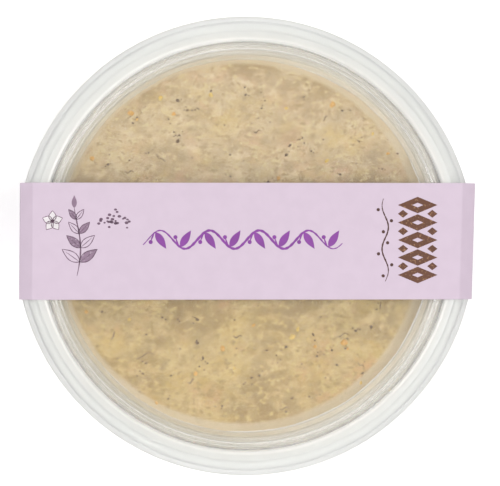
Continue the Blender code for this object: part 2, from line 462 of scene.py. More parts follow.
def feed(links, socket, value):
    """Links the socket to another one, or sets it to a constant."""
    if isinstance(value, bpy.types.NodeSocket):
        links.new(value, socket)
    elif socket.type == "RGBA":
        socket.default_value = (*value, 1.0)
    else:
        socket.default_value = value


def map_range(nodes, links, source, low, high, to_low=0.0, to_high=1.0):
    """A smooth share of the source between low and high, as a socket."""
    node = nodes.new("ShaderNodeMapRange")
    node.interpolation_type = "SMOOTHSTEP"
    node.inputs["From Min"].default_value = low
    node.inputs["From Max"].default_value = high
    node.inputs["To Min"].default_value = to_low
    node.inputs["To Max"].default_value = to_high
    links.new(source, node.inputs["Value"])
    return node.outputs["Result"]


def zone(nodes, links, source, ends, to_low=0.0, to_high=1.0):
    """A smooth share of the source between two ends in millimetres, as a socket."""
    return map_range(nodes, links, source, ends[0] * MM, ends[1] * MM, to_low, to_high)


def mixed(nodes, links, factor, first, second, kind="RGBA"):
    """A mix of two colours or two values, either of them a socket or a constant."""
    mix = nodes.new("ShaderNodeMix")
    mix.data_type = kind
    links.new(factor, mix.inputs["Factor"])
    feed(links, mix.inputs["A"], first)
    feed(links, mix.inputs["B"], second)
    return mix.outputs["Result"]


def both(nodes, links, first, second):
    """The product of two values: what holds where both hold."""
    product = nodes.new("ShaderNodeMath")
    product.operation = "MULTIPLY"
    links.new(first, product.inputs[0])
    links.new(second, product.inputs[1])
    return product.outputs["Value"]


def vector_math(nodes, links, operation, first, second):
    """The sum or the product of a vector socket and of another one or a constant."""
    node = nodes.new("ShaderNodeVectorMath")
    node.operation = operation
    links.new(first, node.inputs[0])
    feed(links, node.inputs[1], second)
    return node.outputs["Vector"]


def radius_of(nodes, links, place):
    """How far the place is from the Z axis, as a socket."""
    length = nodes.new("ShaderNodeVectorMath")
    length.operation = "LENGTH"
    links.new(vector_math(nodes, links, "MULTIPLY", place, (1.0, 1.0, 0.0)), length.inputs[0])
    return length.outputs["Value"]


def split(nodes, links, place):
    """The sockets X, Y and Z of the place."""
    parts = nodes.new("ShaderNodeSeparateXYZ")
    links.new(place, parts.inputs["Vector"])
    return parts.outputs


def noise_texture(nodes, links, vector, scale, detail, offset=(0.0, 0.0, 0.0), roughness=0.55):
    texture = nodes.new("ShaderNodeTexNoise")
    texture.inputs["Scale"].default_value = scale
    texture.inputs["Detail"].default_value = detail
    texture.inputs["Roughness"].default_value = roughness
    links.new(vector_math(nodes, links, "ADD", vector, offset), texture.inputs["Vector"])
    return texture.outputs["Fac"]


def add_bump(nodes, links, shader, height, strength, depth):
    """Fine relief on the shader, up to this depth in millimetres."""
    bump = nodes.new("ShaderNodeBump")
    bump.inputs["Strength"].default_value = strength
    bump.inputs["Distance"].default_value = depth * MM
    links.new(height, bump.inputs["Height"])
    links.new(bump.outputs["Normal"], shader.inputs["Normal"])


def let_in(shader, weight, reach):
    """Lets some light into the body, this far in millimetres for red, green and blue."""
    shader.inputs["Subsurface Weight"].default_value = weight
    shader.inputs["Subsurface Radius"].default_value = Vector(reach) * MM
    shader.inputs["Subsurface Scale"].default_value = 1.0


# Clear plastic

def pass_light(nodes, links, shader, shade):
    """Lets light through to what is behind, tinted by shade at each surface."""
    path = nodes.new("ShaderNodeLightPath")
    through = nodes.new("ShaderNodeBsdfTransparent")
    through.inputs["Color"].default_value = (shade, shade, shade, 1.0)
    mix = nodes.new("ShaderNodeMixShader")
    links.new(path.outputs["Is Shadow Ray"], mix.inputs["Fac"])
    links.new(shader.outputs["BSDF"], mix.inputs[1])
    links.new(through.outputs["BSDF"], mix.inputs[2])
    links.new(mix.outputs["Shader"], nodes["Material Output"].inputs["Surface"])


def plastic_base(name):
    """Clear plastic with faint flow marks, and the place that its tints go by."""
    material, nodes, links, shader = new_material(name)
    shader.inputs["IOR"].default_value = PLASTIC_IOR
    place = object_place(nodes)
    add_bump(nodes, links, shader, noise_texture(nodes, links, place, 60.0, 2.0), 0.03, 0.4)
    return material, nodes, links, shader, place


def lid_plastic():
    """Clear in its panel, and frosted from the recess wall outwards, with painted shade: darker at the
    flange and darker still at the lip.
    """
    material, nodes, links, shader, place = plastic_base("lid_plastic")
    radius = radius_of(nodes, links, place)
    frost = zone(nodes, links, radius, FROST_ZONE)
    tint = mixed(nodes, links, frost, LID_TINT, WALL_TINT)
    # Painted shade at the flange and at the lip
    tint = mixed(nodes, links, zone(nodes, links, radius, FLANGE_ZONE), tint, FLANGE_SHADE_TINT)
    tint = mixed(nodes, links, zone(nodes, links, radius, LIP_ZONE), tint, LIP_SHADE_TINT)
    links.new(tint, shader.inputs["Base Color"])
    clear = mixed(nodes, links, frost, LID_CLEAR, LID_FROST, "FLOAT")
    links.new(clear, shader.inputs["Transmission Weight"])
    beaded = zone(nodes, links, radius, BEAD_ZONE, PANEL_ROUGHNESS, BEAD_ROUGHNESS)
    roughness = mixed(nodes, links, frost, beaded, FROST_ROUGHNESS, "FLOAT")
    links.new(roughness, shader.inputs["Roughness"])
    pass_light(nodes, links, shader, LID_SHADE)
    return material


def tub_plastic():
    """Clear where the dip touches it, with a smeared film of dip up to the ledge, paler at the right. The
    film's tones are partly that smear and partly painted shade, and the ledge is darkened as painted shade.
    """
    material, nodes, links, shader, place = plastic_base("tub_plastic")
    sides = split(nodes, links, place)
    ledge = zone(nodes, links, sides["Z"], LEDGE_ZONE)
    film = zone(nodes, links, sides["Z"], FILM_ZONE)
    wet = zone(nodes, links, sides["Z"], WET_ZONE)
    # Painted shade on the ledge and, with the smear of dip, on the film
    smear_and_shade = mixed(nodes, links, zone(nodes, links, sides["X"], PALE_SIDE_ZONE), FILM_SMEAR_AND_SHADE, FILM_PALE_SMEAR_AND_SHADE)
    tint = mixed(nodes, links, ledge, TUB_TINT, LEDGE_SHADE_TINT)
    tint = mixed(nodes, links, film, tint, smear_and_shade)
    links.new(mixed(nodes, links, wet, tint, WET_TINT), shader.inputs["Base Color"])
    clear = mixed(nodes, links, film, TUB_CLEAR, FILM_CLEAR, "FLOAT")
    links.new(mixed(nodes, links, wet, clear, WET_CLEAR, "FLOAT"), shader.inputs["Transmission Weight"])
    inside = zone(nodes, links, radius_of(nodes, links, place), INSIDE_ZONE)
    roughness = mixed(nodes, links, inside, TUB_ROUGHNESS, INSIDE_ROUGHNESS, "FLOAT")
    links.new(roughness, shader.inputs["Roughness"])
    pass_light(nodes, links, shader, TUB_SHADE)
    return material


# Tub and lid

def tub_corners():
    rim_z = TUB_HIGH - TUB_WALL / 2
    rim_radius = TUB_RIM - TUB_WALL / 2
    base_z = TUB_LOW + TUB_WALL / 2
    return [
        (0.0, base_z + FOOT_HOLLOW, 0, 0),
        (HOLLOW_RADIUS_TOP, base_z + FOOT_HOLLOW, 0.6, 5),
        (HOLLOW_RADIUS_LOW, base_z, 0.6, 5),
        (FOOT_RADIUS, base_z, 2.0, 10),
        (LEDGE_RADIUS, LEDGE_Z, 1.2, 8),
        (LEDGE_RADIUS_OUT, LEDGE_Z + LEDGE_RISE, 0.9, 6),
        (NECK_RADIUS, rim_z, 0.5, 6),
        (rim_radius, rim_z, 0.5, 6),
        (rim_radius, rim_z - RIM_LIP, 0, 0),
    ]


def tub_inner_radius(z):
    """Radius of the tub's inner face between its foot and its ledge."""
    foot_z = TUB_LOW + TUB_WALL / 2
    share = (z - foot_z) / (LEDGE_Z - foot_z)
    return FOOT_RADIUS + (LEDGE_RADIUS - FOOT_RADIUS) * share - TUB_WALL / 2


def lid_corners():
    panel_z = LID_TOP - PANEL_DEPTH - LID_WALL / 2
    top_z = LID_TOP - LID_WALL / 2
    lip_radius = LID_RADIUS - LID_WALL / 2
    return [
        (0.0, panel_z, 0, 0),
        (BEAD_RADIUS - BEAD_FOOT, panel_z, 0.4, 4),
        (BEAD_RADIUS - BEAD_TOP, panel_z + BEAD_HEIGHT, 0.3, 4),
        (BEAD_RADIUS + BEAD_TOP, panel_z + BEAD_HEIGHT, 0.3, 4),
        (BEAD_RADIUS + BEAD_FOOT, panel_z, 0.3, 4),
        (RECESS_RADIUS_LOW, panel_z, 0.35, 6),
        (RECESS_RADIUS_TOP, top_z, 1.2, 12),
        (CREST_RADIUS, top_z, 0.5, 4),
        (SKIRT_RADIUS, top_z - SHOULDER_DROP, 0.7, 8),
        (SKIRT_RADIUS + SKIRT_DRAFT, LID_TOP - PRESS_START, 0, 0),
        (SKIRT_RADIUS + 2 * SKIRT_DRAFT, LID_TOP - PRESS_FULL, 0.5, 5),
        (lip_radius - SKIRT_DRAFT, LID_LOW + LIP_HEIGHT, 0.5, 5),
        (lip_radius, LID_LOW, 0, 0),
    ]


def band_reach(side, y):
    """How far the band stands out from the axis beside the lid's lip at this y, on side 1 or -1."""
    if side > 0:
        return BAND_REACH_RIGHT + BAND_SLANT_RIGHT * (y - BAND_MIDDLE_Y)
    return BAND_REACH_LEFT - BAND_SLANT_LEFT * (y - BAND_MIDDLE_Y)


def pressed(vert):
    """The vertex of the lid's shoulder moved down, or of its skirt in, where the tight band presses it."""
    x, y, z = vert
    radius = math.hypot(x, y)
    from_middle = abs(y - BAND_MIDDLE_Y)
    under = 1 - smoothstep(BAND_WIDTH / 2 - PRESS_FADE, BAND_WIDTH / 2 + PRESS_PAST_BAND, from_middle)
    under *= 1 - smoothstep(PRESS_START - PRESS_FADE, PRESS_START, LID_TOP - z)
    z -= SHOULDER_PRESS * under * smoothstep(SHOULDER_PRESS_START, SKIRT_RADIUS, radius)
    if radius < SKIRT_RADIUS - LID_WALL:
        return x, y, z
    side = 1 if x > 0 else -1
    room = band_reach(side, y) - PAPER - PRESS_GAP
    over = LID_RADIUS * abs(x) / radius - room
    weight = smoothstep(PRESS_START, PRESS_FULL, LID_TOP - z)
    return x - side * max(over, 0.0) * weight, y, z


def make_tub():
    verts, faces = turned(shell(rounded(tub_corners()), TUB_WALL), SEGMENTS)
    add_piece("tub_shell", verts, faces, tub_plastic(), "tub", "tub_plastic")


def make_lid():
    verts, faces = turned(shell(rounded(lid_corners()), LID_WALL), SEGMENTS)
    add_piece("lid_shell", [pressed(v) for v in verts], faces, lid_plastic(), "lid", "lid_plastic")


# Dip

def dip_height(x, y):
    """Height of the dip's surface over its mean level: a low crown, a slope and lazy waves."""
    edge = tub_inner_radius(DIP_LEVEL)
    radius = math.hypot(x, y) / edge
    along = (x * math.cos(DIP_DROP_TOWARDS) + y * math.sin(DIP_DROP_TOWARDS)) / edge
    height = DIP_CROWN * (1 - 2 * radius**2) - DIP_DROP / 2 * along
    for wave, length_x, length_y, phase in DIP_WAVES:
        height += wave * math.sin(math.tau * (x / length_x + y / length_y) + phase)
    return height


def relief_place(x, y, relief):
    return Vector((x / relief[0], y / relief[1], relief[3]))


def dip_relief(x, y):
    """Smears, lumps and grain on top of the dip's main form."""
    smears = noise.fractal(relief_place(x, y, DIP_SMEARS), 0.8, 2.0, 3)
    lumps = noise.noise(relief_place(x, y, DIP_LUMPS))
    grain = noise.noise(relief_place(x, y, DIP_GRAIN))
    return DIP_SMEARS[2] * smears + DIP_LUMPS[2] * lumps + DIP_GRAIN[2] * grain


def on_disk(u, v):
    """A point of the unit disk for a point of the square from -1 to 1, evenly spread."""
    if u == 0 and v == 0:
        return 0.0, 0.0
    if abs(u) > abs(v):
        radius, angle = u, math.pi / 4 * v / u
    else:
        radius, angle = v, math.pi / 2 - math.pi / 4 * u / v
    return radius * math.cos(angle), radius * math.sin(angle)


def dip_surface(x, y):
    """Height of the dip's top at (x, y), in the part's frame."""
    radius = math.hypot(x, y) / tub_inner_radius(DIP_LEVEL)
    calm = 1 - smoothstep(CALM_START, 1.0, radius)
    relief = dip_relief(x, y) * (EDGE_RELIEF + (1 - EDGE_RELIEF) * calm)
    away = math.cos(math.atan2(y, x) - DIP_DROP_TOWARDS)
    drop = ROLL_DROP + ROLL_EXTRA * smoothstep(0.0, 1.0, away)
    roll = drop * smoothstep(ROLL_START, 1.0, radius) ** 1.5
    return DIP_LEVEL + dip_height(x, y) + relief - roll


def dip_tone_with_painted_light(nodes, links, place, patched):
    """The patched colour with painted light and shade: darker and yellower towards the front, lighter down
    the side, and pale at the rim, which lifts the shade where the dip rolls down to the wall.
    """
    sides = split(nodes, links, place)
    upper = zone(nodes, links, sides["Z"], DIP_UPPER_ZONE)
    # Painted shade: darker and yellower towards the front
    front = both(nodes, links, zone(nodes, links, sides["Y"], DIP_FRONT_SHADE_ZONE), upper)
    above = mixed(nodes, links, front, DIP_BACK_PAINTED_LIGHT, DIP_FRONT_PAINTED_SHADE)
    # Painted light: the side of the dip is lightened
    tint = mixed(nodes, links, upper, DIP_SIDE_PAINTED_LIGHT, above)
    # Painted light: the pale rim that lifts the shade where the dip meets the wall
    shifted = vector_math(nodes, links, "ADD", place, Vector(RIM_LIGHT_SHIFT) * MM)
    rim = both(nodes, links, zone(nodes, links, radius_of(nodes, links, shifted), DIP_RIM_LIGHT_ZONE), upper)
    return mixed(nodes, links, rim, vector_math(nodes, links, "MULTIPLY", patched, tint), srgb(*DIP_RIM_PAINTED_LIGHT))


def dip_material():
    """Cream with soft patches of straw, pink and grey, and a fine wet grain."""
    material, nodes, links, shader = new_material("dip_cream")
    place = object_place(nodes)
    stretch = nodes.new("ShaderNodeMapping")
    stretch.inputs["Scale"].default_value = DIP_PATCH_STRETCH
    links.new(place, stretch.inputs["Vector"])
    stretched = stretch.outputs["Vector"]
    patched = srgb(*DIP_CREAM)
    for tone, scale, offset, low, high in DIP_PATCHES:
        cloud = noise_texture(nodes, links, stretched, scale, 3.0, offset)
        patched = mixed(nodes, links, map_range(nodes, links, cloud, low, high), patched, srgb(*tone))
    links.new(dip_tone_with_painted_light(nodes, links, place, patched), shader.inputs["Base Color"])
    shader.inputs["Roughness"].default_value = 0.42
    shader.inputs["IOR"].default_value = 1.4
    let_in(shader, 0.35, DIP_SCATTER)
    grain = noise_texture(nodes, links, stretched, 800.0, 3.0, (1.0, 2.0, 3.0))
    add_bump(nodes, links, shader, grain, 0.35, 0.5)
    return material


def dip_top():
    """Vertices and faces of the dip's top: a square grid bent into a disk that reaches the wall."""
    side = DIP_GRID + 1
    edge = tub_inner_radius(DIP_LEVEL)
    verts = []
    for row in range(side):
        for column in range(side):
            u = 2 * column / DIP_GRID - 1
            v = 2 * row / DIP_GRID - 1
            disk_x, disk_y = on_disk(u, v)
            z = dip_surface(disk_x * edge, disk_y * edge)
            reach = tub_inner_radius(z) + INTO_WALL
            scale = edge + (reach - edge) * max(abs(u), abs(v)) ** 8
            verts.append((disk_x * scale, disk_y * scale, z))
    faces = []
    for row in range(DIP_GRID):
        for column in range(DIP_GRID):
            a = row * side + column
            faces.append((a, a + 1, a + 1 + side, a + side))
    return verts, faces


def grid_border():
    """The numbers of the vertices round the border of the dip's top."""
    side = DIP_GRID + 1
    border = list(range(side))
    border += [row * side + DIP_GRID for row in range(1, side)]
    border += [DIP_GRID * side + column for column in range(DIP_GRID - 1, -1, -1)]
    border += [row * side for row in range(DIP_GRID - 1, 0, -1)]
    return border


def dip_low_profile():
    """The dip's side and floor in the tub, as (radius, z) from the wall in to the axis."""
    floor_z = TUB_LOW + TUB_WALL
    corners = [
        (0.0, floor_z + FOOT_HOLLOW, 0, 0),
        (HOLLOW_RADIUS_TOP, floor_z + FOOT_HOLLOW, 0.6, 3),
        (HOLLOW_RADIUS_LOW, floor_z, 0.6, 3),
        (FOOT_RADIUS - TUB_WALL / 2, floor_z, 1.7, 6),
        (tub_inner_radius(DIP_LOWEST_SIDE), DIP_LOWEST_SIDE, 0, 0),
    ]
    return rounded(corners)[::-1]


def make_dip():
    verts, faces = dip_top()
    border = grid_border()
    count = len(border)
    profile = dip_low_profile()
    previous = border
    for radius, z in profile[:-1]:
        start = len(verts)
        for index in border:
            x, y, _ = verts[index]
            scale = (radius + INTO_WALL) / math.hypot(x, y)
            verts.append((x * scale, y * scale, z - INTO_WALL))
        ring = list(range(start, start + count))
        for i in range(count):
            j = (i + 1) % count
            faces.append((previous[i], ring[i], ring[j], previous[j]))
        previous = ring
    verts.append((0.0, 0.0, profile[-1][1] - INTO_WALL))
    for i in range(count):
        faces.append((previous[i], len(verts) - 1, previous[(i + 1) % count]))
    add_piece("dip_body", verts, faces, dip_material(), "dip", "dip", math.radians(70))


# Char specks, strips of charred skin, and bits of pepper and of yellow flesh in the dip

def lump(place, half, heading, dice):
    """Vertices and faces of an uneven lump with these half sizes, turned about Z."""
    verts = [(0.0, 0.0, -half[2])]
    for ring in range(1, LUMP_RINGS):
        polar = math.pi * ring / LUMP_RINGS
        for step in range(LUMP_SIDES):
            angle = math.tau * step / LUMP_SIDES
            swell = dice.uniform(0.78, 1.18)
            verts.append((half[0] * math.sin(polar) * math.cos(angle) * swell,
                          half[1] * math.sin(polar) * math.sin(angle) * swell,
                          -half[2] * math.cos(polar)))
    verts.append((0.0, 0.0, half[2]))
    faces = []
    last = len(verts) - 1
    for step in range(LUMP_SIDES):
        after = (step + 1) % LUMP_SIDES
        faces.append((0, 1 + after, 1 + step))
        for ring in range(LUMP_RINGS - 2):
            a = 1 + ring * LUMP_SIDES
            faces.append((a + step, a + after, a + LUMP_SIDES + after, a + LUMP_SIDES + step))
        a = 1 + (LUMP_RINGS - 2) * LUMP_SIDES
        faces.append((a + step, a + after, last))
    cos = math.cos(heading)
    sin = math.sin(heading)
    moved = [(place[0] + x * cos - y * sin, place[1] + x * sin + y * cos, place[2] + z)
             for x, y, z in verts]
    return moved, faces


def join(pieces):
    """One list of vertices and one of faces from several pairs of them."""
    verts, faces = [], []
    for piece_verts, piece_faces in pieces:
        start = len(verts)
        verts += piece_verts
        faces += [tuple(start + index for index in face) for face in piece_faces]
    return verts, faces


def sunk(x, y, half, share, heading, dice):
    """A lump in the dip that stands out of its surface by this share of its half height."""
    return lump((x, y, dip_surface(x, y) - half[2] * (1 - share)), half, heading, dice)


def scattered(count, reach, dice):
    """Places on the dip, evenly spread by chance."""
    places = []
    while len(places) < count:
        x, y = dice.uniform(-reach, reach), dice.uniform(-reach, reach)
        if math.hypot(x, y) < reach:
            places.append((x, y))
    return places


def char_specks():
    dice = random.Random(41)
    pieces = []
    for x, y, size in CHAR_SPECKS:
        half = (size * dice.uniform(1.15, 1.6), size * dice.uniform(0.85, 1.15), size * 0.55)
        pieces.append(sunk(x, y, half, 0.85, dice.uniform(0, math.pi), dice))
        for _ in range(dice.randint(1, 3)):
            crumb = dice.uniform(*CRUMB_SIZES)
            near_x = x + dice.gauss(0, CRUMB_SPREAD)
            near_y = y + dice.gauss(0, CRUMB_SPREAD)
            pieces.append(sunk(near_x, near_y, (crumb, crumb, crumb * 0.6), 0.8, 0.0, dice))
    for x, y in scattered(FINE_SPECKS, FINE_SPECK_REACH, dice):
        size = FINE_SPECK_LEAST + FINE_SPECK_EXTRA * dice.random() ** 2.5
        half = (size * dice.uniform(0.9, 1.6), size, size * 0.6)
        pieces.append(sunk(x, y, half, 0.8, dice.uniform(-0.6, 0.6), dice))
    return join(pieces)


def skin_strip(x, y, length, heading, bend, dice):
    """A thin curled strip of charred skin, lying in the surface."""
    verts = []
    for step in range(STRIP_STEPS + 1):
        along = step / STRIP_STEPS - 0.5
        turn = heading + bend * along
        px = x + length * along * math.cos(turn)
        py = y + length * along * math.sin(turn) + STRIP_WIGGLE * math.sin(9 * along)
        half = STRIP_HALF * (1 - (2 * along) ** 4) * dice.uniform(0.6, 1.2) + STRIP_TIP
        out_x = -math.sin(turn) * half
        out_y = math.cos(turn) * half
        lift = STRIP_LIFT + STRIP_CURL * math.sin(14 * along)
        for side, drop in ((1, 0.0), (-1, 0.0), (-1, STRIP_DEPTH), (1, STRIP_DEPTH)):
            vx = px + side * out_x
            vy = py + side * out_y
            verts.append((vx, vy, dip_surface(vx, vy) + lift - drop))
    faces = [(3, 2, 1, 0), tuple(4 * STRIP_STEPS + k for k in range(4))]
    for step in range(STRIP_STEPS):
        a = 4 * step
        for k in range(4):
            faces.append((a + k, a + (k + 1) % 4, a + 4 + (k + 1) % 4, a + 4 + k))
    return verts, faces


def skin_strips():
    dice = random.Random(7)
    return join([skin_strip(*strip, dice) for strip in SKIN_STRIPS])


def bits(places, seed):
    dice = random.Random(seed)
    pieces = []
    for x, y, size in places:
        half = (size * dice.uniform(1.05, 1.4), size * dice.uniform(0.8, 1.05), size * 0.45)
        pieces.append(sunk(x, y, half, 0.7, dice.uniform(0, math.pi), dice))
    return join(pieces)


def fleck_material(name, tones, roughness):
    """A fleck in the dip: two close tones in soft patches, wet."""
    material, nodes, links, shader = new_material(name)
    cloud = noise_texture(nodes, links, object_place(nodes), 900.0, 3.0)
    share = map_range(nodes, links, cloud, 0.35, 0.65)
    links.new(mixed(nodes, links, share, srgb(*tones[0]), srgb(*tones[1])), shader.inputs["Base Color"])
    shader.inputs["Roughness"].default_value = roughness
    let_in(shader, 0.2, FLECK_SCATTER)
    return material


def make_flecks():
    add_piece("char_specks", *char_specks(), fleck_material("char", CHAR_TONES, 0.6))
    add_piece("skin_strips", *skin_strips(), fleck_material("skin", SKIN_TONES, 0.6))
    add_piece("pepper_bits", *bits(PEPPER_BITS, 5), fleck_material("pepper", PEPPER_TONES, 0.5))
    add_piece("lemon_bits", *bits(LEMON_BITS, 9), fleck_material("lemon", LEMON_TONES, 0.5))


# Paper band

def paper_rise(x, y):
    """How far the paper stands off its flat run over the lid: a slight bow, a buckle and a curl."""
    span = 1 - min(abs(x) / PAPER_SPAN, 1.0) ** 2
    across = (y - BAND_MIDDLE_Y) / BAND_WIDTH
    buckle = PAPER_BUCKLE * math.sin(x / PAPER_BUCKLE_LENGTH + 0.6)
    return span * (PAPER_BOW + buckle - PAPER_CURL * across**2)


def paper_material():
    """Lavender paper, softly mottled, with fine fibres."""
    material, nodes, links, shader = new_material("lavender_paper")
    place = object_place(nodes)
    mottle = noise_texture(nodes, links, place, 260.0, 5.0, roughness=0.5)
    share = map_range(nodes, links, mottle, 0.3, 0.7)
    tone = mixed(nodes, links, share, srgb(*PAPER_TONES[0]), srgb(*PAPER_TONES[1]))
    links.new(tone, shader.inputs["Base Color"])
    shader.inputs["Roughness"].default_value = 0.62
    fibres = noise_texture(nodes, links, place, 2600.0, 4.0, roughness=0.5)
    add_bump(nodes, links, shader, fibres, 0.12, 0.1)
    return material


def band_loop():
    """The middle line of the paper, once round the lid and the base."""
    middle = PAPER / 2
    reach = BAND_REACH_RIGHT - middle
    base = BAND_BASE_REACH - middle
    top_z = BAND_HIGH - middle
    right = [(base, BAND_LOW + middle, 1.5, 8), (reach, LID_LOW, 0.6, 6),
             (reach - BAND_FLARE, top_z - BAND_SHOULDER, 0.6, 8), (BAND_CREASE, top_z, 1.2, 8)]
    left = [(-x, z, radius, steps) for x, z, radius, steps in right[::-1]]
    corners = rounded(right + left)
    loop = []
    for i, (x, z) in enumerate(corners):
        next_x, next_z = corners[(i + 1) % len(corners)]
        pieces = max(1, round(math.hypot(next_x - x, next_z - z) / BAND_STEP))
        for piece in range(pieces):
            share = piece / pieces
            loop.append((x + (next_x - x) * share, z + (next_z - z) * share))
    return loop


def make_band():
    loop = band_loop()
    sides = beside(loop, -PAPER / 2, closed=True), beside(loop, PAPER / 2, closed=True)
    count = len(loop)
    verts = []
    for row in range(BAND_ROWS + 1):
        y = BAND_FRONT + BAND_WIDTH * row / BAND_ROWS
        for side_path in sides:
            for x, z in side_path:
                side = 1 if x > 0 else -1
                rise = paper_rise(x, y) if z > BAND_HIGH - 1 else 0.0
                verts.append((x * band_reach(side, y) / BAND_REACH_RIGHT, y, z + rise))
    faces = []
    last = BAND_ROWS * 2 * count
    for i in range(count):
        j = (i + 1) % count
        for row in range(BAND_ROWS):
            a = row * 2 * count
            b = a + 2 * count
            faces.append((b + i, b + j, a + j, a + i))
            faces.append((b + count + j, b + count + i, a + count + i, a + count + j))
        faces.append((j + count, i + count, i, j))
        faces.append((last + i + count, last + j + count, last + j, last + i))
    add_piece("paper_band", verts, faces, paper_material(), "band", "paper", math.radians(60))


# Print on the band: a vine, a sprig with seeds and a blossom, stamped lozenges and a beaded line

def paper_top(x, y):
    return BAND_HIGH + paper_rise(x, y) + PRINT_LIFT


def laid(points):
    """The points (x, y) laid on the paper."""
    return [(x, y, paper_top(x, y)) for x, y in points]


def lifted(shape):
    """The flat shape a little higher, to lie on another one."""
    verts, faces = shape
    return [(x, y, z + PRINT_LIFT) for x, y, z in verts], faces


def stroke(path, width, taper=True):
    """A pen stroke along the path, a little uneven, thinner at its ends."""
    left, right = [], []
    last = len(path) - 1
    for i, (x, y) in enumerate(path):
        before, after = path[max(i - 1, 0)], path[min(i + 1, last)]
        along = math.atan2(after[1] - before[1], after[0] - before[0])
        half = width / 2 * (1 + 0.18 * math.sin(1.7 * i))
        if taper:
            half *= 0.35 + 0.65 * min(1.0, 4 * i / last, 4 * (1 - i / last))
        left.append((x - math.sin(along) * half, y + math.cos(along) * half))
        right.append((x + math.sin(along) * half, y - math.cos(along) * half))
    faces = [(i, i + len(path), i + len(path) + 1, i + 1) for i in range(last)]
    return laid(left + right), faces


def filled(outline):
    """A flat shape inside a closed outline that runs round its own middle."""
    middle = (sum(x for x, _ in outline) / len(outline), sum(y for _, y in outline) / len(outline))
    count = len(outline)
    return laid([middle] + outline), [(0, 1 + i, 1 + (i + 1) % count) for i in range(count)]


def leaf_outline(x, y, length, width, heading):
    """A pointed leaf that grows from (x, y)."""
    steps = 9
    edge = []
    for side in (1, -1):
        for step in range(steps):
            share = step / steps if side > 0 else 1 - step / steps
            across = side * width / 2 * math.sin(math.pi * share ** 0.8)
            edge.append((x + length * share * math.cos(heading) - across * math.sin(heading),
                         y + length * share * math.sin(heading) + across * math.cos(heading)))
    return edge


def dot(x, y, radius, stretch=1.0):
    outline = []
    for i in range(DOT_SIDES):
        angle = math.tau * i / DOT_SIDES
        outline.append((x + radius * stretch * math.cos(angle), y + radius * math.sin(angle)))
    return filled(outline)


def vine():
    """A wavy stem with a leaf and a berry at each turn."""
    def height(x):
        return VINE_Y + VINE_RISE * math.sin(x * math.tau / VINE_WAVE)
    start, end = VINE_SPAN
    steps = 150
    along = [start + (end - start) * i / steps for i in range(steps + 1)]
    pieces = [stroke([(x, height(x)) for x in along], VINE_STEM)]
    turns = int((end - start) / (VINE_WAVE / 2))
    for turn in range(turns):
        x = start + (turn + 0.5) * VINE_WAVE / 2
        y = height(x)
        side = 1 if turn % 2 else -1
        pieces.append(filled(leaf_outline(x, y, *VINE_LEAF, VINE_LEAN * side)))
        tip_x = x - 1.2
        tip_y = y + 2.5 * side
        pieces.append(stroke([(x - 0.2, y), (x - 0.8, y + 1.3 * side), (tip_x, tip_y)], VINE_STALK))
        pieces.append(dot(tip_x, tip_y, VINE_BERRY))
    return join(pieces)


def sprig_parts():
    """Fills and lines of an upright sprig with paired leaves, and the seeds beside it."""
    fills, lines = [], []
    base_x, base_y = SPRIG_FOOT
    stem = [(base_x + 0.9 * math.sin(i / 6.0), base_y + SPRIG_HEIGHT * i / 24) for i in range(25)]
    lines.append(stroke(stem, SPRIG_STEM))
    for index, place in enumerate((5, 10, 15, 20)):
        x, y = stem[place]
        for side in (-1, 1):
            heading = math.pi / 2 - side * (0.95 - 0.1 * index)
            size = SPRIG_LEAF - SPRIG_LEAF_SHRINK * index
            outline = leaf_outline(x, y, size, size * 0.42, heading)
            if (index + (side > 0)) % 2:
                fills.append(filled(outline))
            lines.append(stroke(outline + outline[:1], SPRIG_OUTLINE, taper=False))
            lines.append(stroke([(x + size * t * math.cos(heading), y + size * t * math.sin(heading))
                                 for t in (0.0, 0.3, 0.55, 0.8)], SPRIG_VEIN))
    fills.append(filled(leaf_outline(*stem[-1], 3.2, 1.3, math.pi / 2)))
    dice = random.Random(3)
    for _ in range(SEED_COUNT):
        seed_x = base_x + SEED_PLACE[0] + dice.gauss(0, SEED_SPREAD[0])
        seed_y = base_y + SEED_PLACE[1] + dice.gauss(0, SEED_SPREAD[1])
        lines.append(dot(seed_x, seed_y, dice.uniform(0.2, 0.36), 1.35))
    return join(fills), join(lines)


def blossom_parts():
    """Petals and outlines of a pale blossom over the sprig's left side, with a dotted heart."""
    petals, lines = [], []
    for petal in range(PETAL_COUNT):
        heading = math.pi / 2 + math.tau * petal / PETAL_COUNT
        outline = leaf_outline(*BLOSSOM, *PETAL, heading)
        petals.append(filled(outline))
        lines.append(stroke(outline + outline[:1], SPRIG_VEIN, taper=False))
    lines.append(dot(*BLOSSOM, 0.45))
    return join(petals), join(lines)


def lozenge(x, y, half_x, half_y):
    """The four corners of a lozenge."""
    return [(x + half_x, y), (x, y + half_y), (x - half_x, y), (x, y - half_y)]


def dense(ring, steps=6):
    """The closed ring with each of its sides cut into steps."""
    points = []
    for i, start in enumerate(ring):
        end = ring[(i + 1) % len(ring)]
        points += [(start[0] + (end[0] - start[0]) * k / steps, start[1] + (end[1] - start[1]) * k / steps)
                   for k in range(steps)]
    return points


